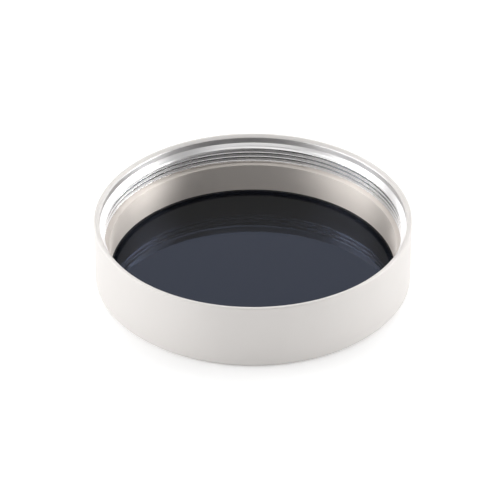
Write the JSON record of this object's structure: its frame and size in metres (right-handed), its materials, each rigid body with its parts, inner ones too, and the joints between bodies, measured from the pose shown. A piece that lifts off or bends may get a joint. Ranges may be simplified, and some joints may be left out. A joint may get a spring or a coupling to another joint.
{
  "type": "neutral density filter",
  "caption": "Round screw-in neutral density filter: a turned aluminium ring with an internal thread and a dark glass disc bonded onto a thin lip at its front end.",
  "frame": {"origin": "centre of the ring's front face, on which it lies", "axes": "+Z along the ring's axis, out of the threaded mouth"},
  "size_m": [0.032, 0.032, 0.007],
  "materials": {
    "satin_aluminium": "satin, bead blasted outside and turned inside",
    "dark_glass": "polished, dark neutral grey with a faint blue reflection",
    "black_bond": "matt black"
  },
  "bodies": {
    "root": {"filter_ring": "satin_aluminium", "nd_glass": "dark_glass", "glass_bond": "black_bond"}
  },
  "joints": []
}
